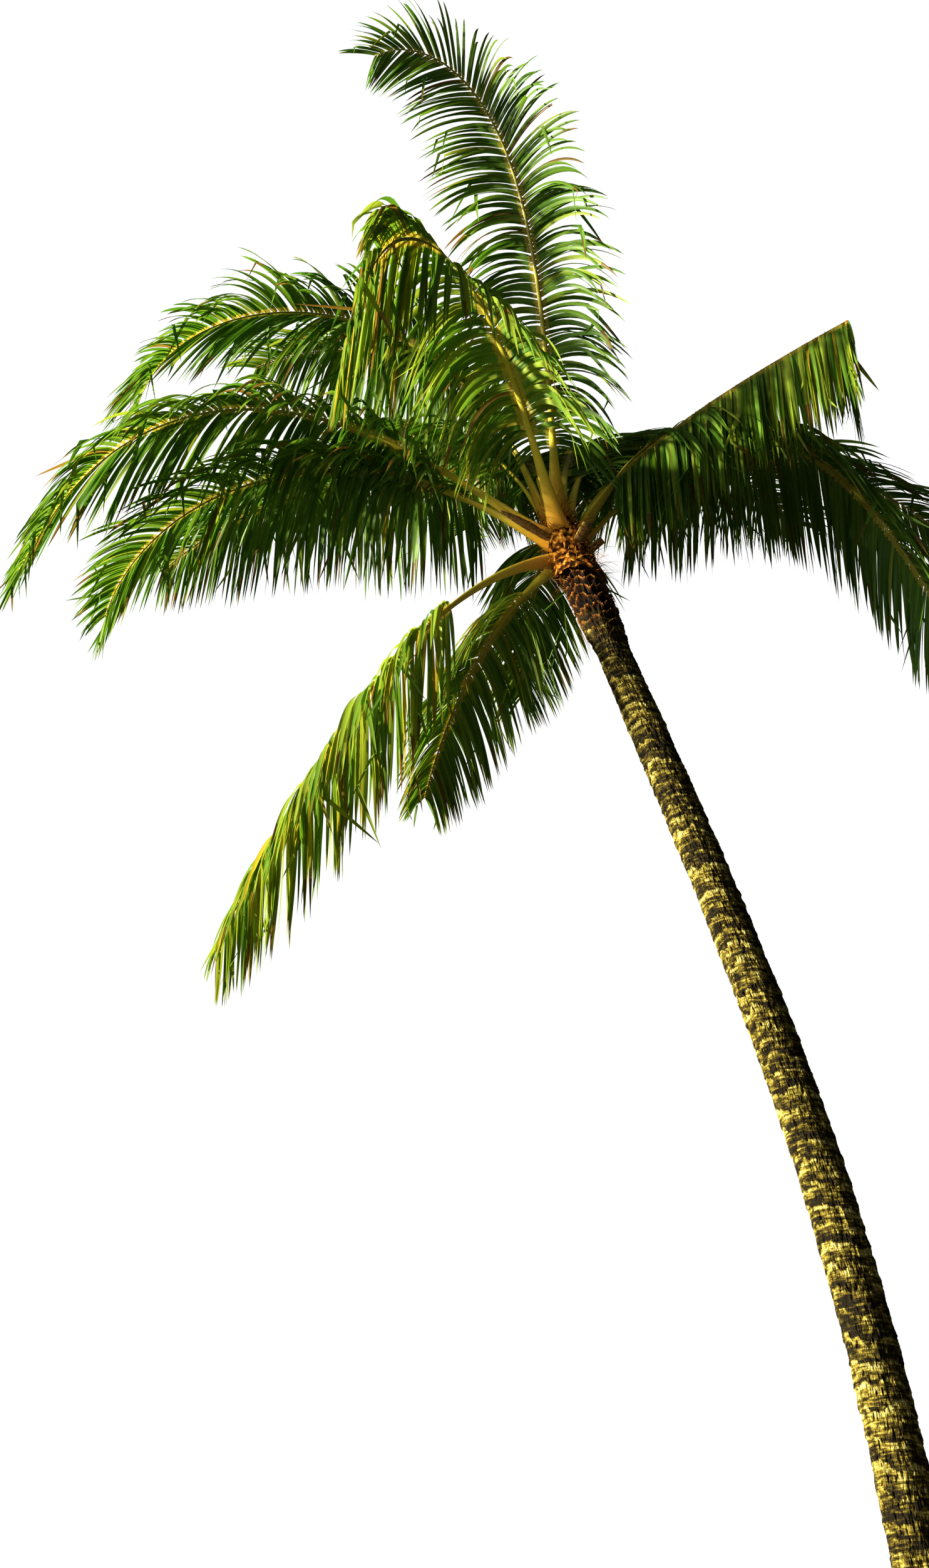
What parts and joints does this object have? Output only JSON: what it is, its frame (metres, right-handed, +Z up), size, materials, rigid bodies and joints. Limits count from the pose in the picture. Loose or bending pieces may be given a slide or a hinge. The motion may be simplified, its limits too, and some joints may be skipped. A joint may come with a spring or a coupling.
{
  "type": "coconut palm tree",
  "caption": "Leaning coconut palm with a ringed trunk, a fibrous crown heart and arching feather fronds, one of them snapped.",
  "frame": {"origin": "middle of the flat cut under the trunk, at ground level", "axes": "+Z up, -X the way the trunk leans, -Y the side the arched front frond faces"},
  "size_m": [8.138, 5.8741, 14.0052],
  "materials": {
    "bark": "rough",
    "sheath": "rough",
    "stalk": "satin",
    "leaf": "satin",
    "dry_stalk": "rough"
  },
  "bodies": {
    "root": {"trunk": "bark", "crown_heart": "sheath", "dry_spathe": "dry_stalk", "cut_stub_front": "dry_stalk", "cut_stub_right": "dry_stalk", "petiole_crest": "stalk", "petiole_front_arch": "stalk", "petiole_upper_left": "stalk", "petiole_middle_left": "stalk", "petiole_lower_left": "stalk", "petiole_hanging_left": "stalk", "petiole_hanging_inner": "stalk", "petiole_hanging_back": "stalk", "petiole_broken_right": "stalk", "petiole_long_right": "stalk", "petiole_young_left": "stalk", "petiole_back_right_high": "stalk", "petiole_back_left_high": "stalk", "petiole_back_left_top": "stalk", "petiole_back_top": "stalk", "petiole_back_right": "stalk", "petiole_back_left": "stalk", "petiole_back_low_right": "stalk", "blade_crest_inner": "leaf", "blade_crest_outer": "leaf", "blade_front_arch_inner": "leaf", "blade_front_arch_outer": "leaf", "blade_upper_left_inner": "leaf", "blade_upper_left_outer": "leaf", "blade_middle_left_inner": "leaf", "blade_middle_left_outer": "leaf", "blade_lower_left_inner": "leaf", "blade_lower_left_outer": "leaf", "blade_hanging_left": "leaf", "blade_hanging_inner": "leaf", "blade_hanging_back": "leaf", "blade_broken_right": "leaf", "blade_broken_right_tip": "leaf", "blade_long_right_inner": "leaf", "blade_long_right_outer": "leaf", "blade_young_left": "leaf", "blade_back_right_high": "leaf", "blade_back_left_high": "leaf", "blade_back_left_top": "leaf", "blade_back_top": "leaf", "blade_back_right": "leaf", "blade_back_left": "leaf", "blade_back_low_right": "leaf"}
  },
  "joints": []
}
